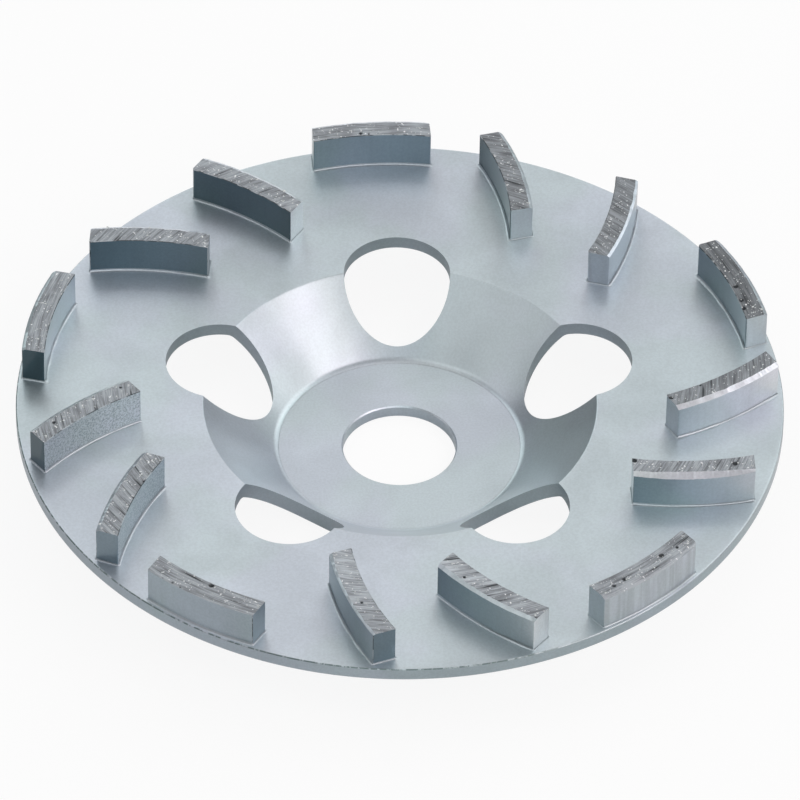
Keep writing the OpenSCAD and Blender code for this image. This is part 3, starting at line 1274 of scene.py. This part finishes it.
@dataclass
class BrazeSeam:
    """The braze that holds a segment: a thin film under it and an uneven bead round its foot."""

    look: SegmentLook
    lacquer: bpy.types.Material
    film_top: float = SEGMENT_LOW.z
    height: float = 0.32 * MM
    width: float = 0.42 * MM
    unevenness: float = 0.35
    lump_scale: float = 260.0
    blob_reach: float = 1.1 * MM
    ends: float = 0.5
    end_from: float = 0.995
    least_room: float = 0.3
    spin_steps: int = 60
    rings: int = 5
    edge_limit: float = WHEEL_RADIUS - 0.3 * MM
    bar: BentBar = field(init=False)

    def __post_init__(self) -> None:
        """Gives the seam its segment's footprint."""
        self.bar = BentBar(self.look)

    def build(self) -> bpy.types.Object:
        """Models and dresses the seam.

        Returns:
            The finished seam.
        """
        bar = self.bar
        mesh = bmesh.new()
        film = [(bar.inner_radius, self.film_top), (bar.outer_radius, self.film_top)]
        bar.sweep(mesh, film, self.spin_steps, closed=False)
        bar.trim(mesh, fill=False)
        bmesh.ops.transform(mesh, matrix=bar.placement(), verts=mesh.verts)
        bmesh.ops.dissolve_degenerate(mesh, dist=WELD, edges=mesh.edges)
        edges = [edge for edge in mesh.edges if edge.is_boundary]
        ways = self.outward_normals(edges)
        shares = {vert: self.room(vert.co, way) * self.end_share(way) for vert, way in ways.items()}
        ring = self.grow(mesh, BeadRing(edges, ways, shares),
                         lambda vert: Vector((0, 0, self.height * shares[vert])))
        for step in range(1, self.rings + 1):
            ring = self.grow(mesh, ring, self.slope(step, ring))
        bmesh.ops.contextual_create(mesh, geom=ring.edges)
        number = f"{self.look.number:02d}"
        return finish_piece(mesh, f"braze_bead_{number}", [self.lacquer], "lacquered_braze",
                            f"braze_seam_{number}")

    def grow(self, mesh: bmesh.types.BMesh, ring: BeadRing,
             move: Callable[[bmesh.types.BMVert], Vector]) -> BeadRing:
        """Extrudes a ring of edges and moves the new one.

        Args:
            mesh: The seam.
            ring: The ring.
            move: Gives each old vertex the way to its new one.

        Returns:
            The new ring.
        """
        old = {vert.co.to_tuple(12): vert for edge in ring.edges for vert in edge.verts}
        made = bmesh.ops.extrude_edge_only(mesh, edges=ring.edges)["geom"]
        above = {}
        for vert in [item for item in made if isinstance(item, bmesh.types.BMVert)]:
            below = old[vert.co.to_tuple(12)]
            above[below] = vert
            vert.co = vert.co + move(below)
        edges = [item for item in made if isinstance(item, bmesh.types.BMEdge)]
        ways = {above[vert]: way for vert, way in ring.ways.items()}
        shares = {above[vert]: share for vert, share in ring.shares.items()}
        return BeadRing(edges, ways, shares)

    def room(self, point: Vector, way: Vector) -> float:
        """Measures the room for the bead.

        Args:
            point: A point of the segment's footprint.
            way: The level way out of the footprint there.

        Returns:
            The share of a full bead that fits between the point and the wheel's edge.
        """
        if (point + way * self.width).xy.length < self.edge_limit:
            return 1.0
        return max(self.least_room, min(1.0, (self.edge_limit - point.xy.length) / self.width))

    def end_share(self, way: Vector) -> float:
        """Returns how much of a full bead the braze makes at an end of the segment."""
        along = (self.bar.placement().to_3x3().inverted() @ way).y
        return 1 - (1 - self.ends) * abs(along) ** 4

    def blob(self, point: Vector) -> float:
        """Swells the bead where blobs of braze have stayed.

        Args:
            point: A point of the bead.

        Returns:
            How much wider the bead is there, as a share of its width.
        """
        bar = self.bar
        home = bar.placement().inverted() @ point
        across = home.xy.length - bar.inner_radius
        swell = 0.0
        for mark in self.look.blobs:
            away = math.hypot(home.y - mark.along * MM, across - mark.across * MM)
            swell += mark.size * math.exp(-(away / self.blob_reach) ** 2)
        return swell

    def outward_normals(self, ring: list[bmesh.types.BMEdge]) -> dict[bmesh.types.BMVert, Vector]:
        """Finds the level way out of the segment's footprint.

        Args:
            ring: The footprint's edges.

        Returns:
            The way out at each vertex.
        """
        ways = {}
        for edge in ring:
            along = edge.verts[1].co - edge.verts[0].co
            across = Vector((along.y, -along.x, 0))
            if across.dot(self.away_from_bar(edge)) < 0:
                across.negate()
            for vert in edge.verts:
                ways[vert] = ways.get(vert, Vector()) + across
        return {vert: way.normalized() for vert, way in ways.items()}

    def away_from_bar(self, edge: bmesh.types.BMEdge) -> Vector:
        """Finds a rough way out of the footprint, in the bend's own axes.

        Args:
            edge: An edge of the footprint.

        Returns:
            The way, in the wheel's axes.
        """
        bar = self.bar
        home = bar.placement().inverted()
        middle = home @ ((edge.verts[0].co + edge.verts[1].co) / 2)
        radius = middle.xy.length
        mean = bar.outer_radius - bar.width / 2
        across = (radius - mean) / (bar.width / 2)
        along = middle.y / bar.half_length
        level = Vector((middle.x / radius, middle.y / radius, 0)) * across
        way = Vector((0, math.copysign(1, along), 0)) if abs(along) > self.end_from else level
        return bar.placement().to_3x3() @ way

    def slope(self, step: int, ring: BeadRing) -> Callable[[bmesh.types.BMVert], Vector]:
        """Leads from one ring of the bead to the next, down a hollow curve.

        Args:
            step: The number of the next ring, from 1.
            ring: The ring that it grows from.

        Returns:
            The move of each vertex.
        """
        first, second = (math.pi / 2 * s / self.rings for s in (step - 1, step))

        def move(vert: bmesh.types.BMVert) -> Vector:
            """Moves one vertex, and stops at the wheel's edge.

            Args:
                vert: The vertex of the ring above.

            Returns:
                The way to its new vertex.
            """
            uneven = self.unevenness * 2 * noise.noise(vert.co * self.lump_scale)
            share = ring.shares[vert]
            lump = 1 + uneven + self.blob(vert.co)
            out = self.width * lump * share * (math.cos(first) - math.cos(second))
            drop = self.film_top + self.height * share - RIM_TOP
            down = drop * (math.sin(second) - math.sin(first))
            target = vert.co + ring.ways[vert] * out - Vector((0, 0, down))
            reach = target.xy.length
            if reach > self.edge_limit:
                target.x *= self.edge_limit / reach
                target.y *= self.edge_limit / reach
            return target - vert.co

        return move


class Tint(Enum):
    """The colour of a lamp's light."""

    NEUTRAL = (1.0, 1.0, 1.0)
    WARM = (1.0, 0.92, 0.92)
    COOL = (0.9, 1.0, 1.0)


@dataclass(frozen=True)
class SoftBox:
    """A square studio lamp, placed by its bearing from the camera's side of the wheel."""

    name: str
    bearing: float
    height: float
    power: float
    tint: Tint = Tint.NEUTRAL
    size: float = 0.7
    distance: float = 1.2


@dataclass
class Studio:
    """Floor, background, lamps and camera."""

    elevation: float = 42.87
    bearing: float = -1.49
    roll: float = -0.86
    distance: float = 1.729
    lens: float = 398.3
    sensor: float = 36.0
    nearest: float = 0.01
    farthest: float = 100.0
    floor_size: float = 6.0
    floor_gap: float = 0.05 * MM
    floor_colour: Colour = (0.8, 0.8, 0.8)
    white: Colour = (1.0, 1.0, 1.0)
    ambient: Colour = (0.06, 0.06, 0.06)
    shadow_share: float = 0.1
    floor_gloss: float = 0.17
    world_gloss: float = 0.0
    boxes: tuple[SoftBox, ...] = (
        SoftBox("backdrop_high", 180, 66, 1.5, Tint.WARM),
        SoftBox("backdrop", 180, 38, 0.5, Tint.WARM),
        SoftBox("backdrop_left", 210, 38, 2.0, Tint.COOL),
        SoftBox("backdrop_right", 150, 38, 1.5, Tint.COOL),
        SoftBox("horizon", 180, 10, 2.5),
        SoftBox("key", 60, 38, 4.0, Tint.WARM),
        SoftBox("key_side", 90, 38, 1.0, Tint.WARM),
        SoftBox("key_back", 120, 38, 2.5),
        SoftBox("key_back_high", 120, 66, 0.5, Tint.COOL),
        SoftBox("fill_high", 300, 66, 2.0),
        SoftBox("fill_left", 270, 38, 1.5),
        SoftBox("fill_front", 0, 38, 2.5, Tint.COOL),
        SoftBox("fill_right", 30, 38, 1.5, Tint.WARM),
    )

    def direction(self, bearing: float, height: float) -> Vector:
        """Returns the way from the wheel to a lamp or the camera.

        Args:
            bearing: Degrees to the right of the camera's side, seen by the camera.
            height: Degrees above the floor.

        Returns:
            A unit vector.
        """
        turn, lift = math.radians(bearing + self.bearing), math.radians(height)
        return Vector((math.sin(turn) * math.cos(lift), -math.cos(turn) * math.cos(lift), math.sin(lift)))

    def build(self) -> None:
        """Sets the whole studio up."""
        self.lay_floor()
        self.hang_background()
        for box in self.boxes:
            self.hang_lamp(box)
        self.place_camera()
        bpy.context.scene.view_settings.view_transform = "Standard"

    def seen_share(self, shader: Shader, gloss: float) -> Socket:
        """Returns the share of the plain white that a ray sees.

        Args:
            shader: The floor's or the world's node tree.
            gloss: The share for a reflection; the camera and clear surfaces see all of it.

        Returns:
            A number from 0 to 1.
        """
        path = shader.node("LightPath")
        outputs = path.output.node.outputs
        direct = shader.maths("MAXIMUM", Socket(shader, outputs["Is Camera Ray"]),
                              Socket(shader, outputs["Is Transmission Ray"]))
        return shader.maths("MAXIMUM", direct, Socket(shader, outputs["Is Glossy Ray"]) * gloss)

    def lay_floor(self) -> None:
        """Lays the white floor, which keeps a soft trace of the wheel's shadow."""
        mesh = bmesh.new()
        bmesh.ops.create_grid(mesh, x_segments=1, y_segments=1, size=self.floor_size / 2,
                              matrix=Matrix.Translation((0, 0, -self.floor_gap)))
        data = bpy.data.meshes.new("floor")
        mesh.to_mesh(data)
        mesh.free()
        floor = bpy.data.objects.new("floor", data)
        bpy.context.scene.collection.objects.link(floor)
        material = bpy.data.materials.new("white_floor")
        shader = Shader(material)
        plain = shader.node("BsdfDiffuse", Color=self.floor_colour)
        bright = shader.node("Emission", Color=self.white, Strength=1.0)
        share = self.seen_share(shader, self.floor_gloss) * (1 - self.shadow_share)
        shader.finish(shader.node("MixShader", in0=share, in1=plain, in2=bright))
        data.materials.append(material)

    def hang_background(self) -> None:
        """Makes the world white to the camera and a dim studio to everything else."""
        world = bpy.data.worlds.new("studio")
        bpy.context.scene.world = world
        shader = Shader(world)
        colour = shader.mix(self.seen_share(shader, self.world_gloss), self.ambient, self.white)
        shader.finish(shader.node("Background", Color=colour, Strength=1.0), "OutputWorld")

    def hang_lamp(self, box: SoftBox) -> None:
        """Hangs one soft box, facing the wheel.

        Args:
            box: The soft box.
        """
        lamp = bpy.data.lights.new(box.name, "AREA")
        lamp.shape, lamp.size = "SQUARE", box.size
        lamp.energy, lamp.color = box.power, box.tint.value
        lit = bpy.data.objects.new(box.name, lamp)
        bpy.context.scene.collection.objects.link(lit)
        way = self.direction(box.bearing, box.height)
        facing = way.to_track_quat("Z", "Y").to_matrix().to_4x4()
        lit.matrix_world = Matrix.Translation(way * box.distance) @ facing

    def place_camera(self) -> None:
        """Stands the camera where the photograph was taken from, with its slight roll."""
        camera = bpy.data.cameras.new("camera")
        camera.lens, camera.sensor_width = self.lens, self.sensor
        camera.clip_start, camera.clip_end = self.nearest, self.farthest
        stand = bpy.data.objects.new("camera", camera)
        bpy.context.scene.collection.objects.link(stand)
        back = self.direction(0.0, self.elevation)
        right = Vector((0, 0, 1)).cross(back).normalized()
        axes = Matrix((right, back.cross(right), back)).transposed().to_4x4()
        aim = Vector((0, 0, RIM_TOP))
        tilt = Matrix.Rotation(-math.radians(self.roll), 4, "Z")
        stand.matrix_world = Matrix.Translation(aim + back * self.distance) @ axes @ tilt
        bpy.context.scene.camera = stand


def main() -> None:
    """Builds the wheel and its studio."""
    logging.basicConfig(level=logging.INFO, format="%(message)s")
    sprays = {
        Spray.SMOOTH: Lacquer(name="segment_lacquer", takes_painted_shading=True).make(),
        Spray.DRY: Lacquer(name="dry_segment_lacquer", speckle=0.55, takes_painted_shading=True).make(),
        Spray.RUNNY: Lacquer(name="runny_segment_lacquer", runs=0.16, takes_painted_shading=True).make(),
    }
    bead_lacquer = Lacquer(name="braze_lacquer", cool=(0.47, 0.51, 0.56), green=(0.45, 0.51, 0.54))
    disc_lacquer = Lacquer(name="disc_lacquer", runs=0.0, darkened_edge=0.9, takes_painted_shading=True)
    bead, bond, grit, darkened = (finish.make() for finish in (
        bead_lacquer, SinteredMetal(), DiamondGrit(), DarkenedEdge()))
    SteelDisc(disc_lacquer.make()).build()
    for look in SEGMENT_LOOKS:
        DiamondSegment(look, sprays, bond, grit, darkened).build()
        BrazeSeam(look, bead).build()
    Studio().build()


if __name__ == "__main__":
    main()
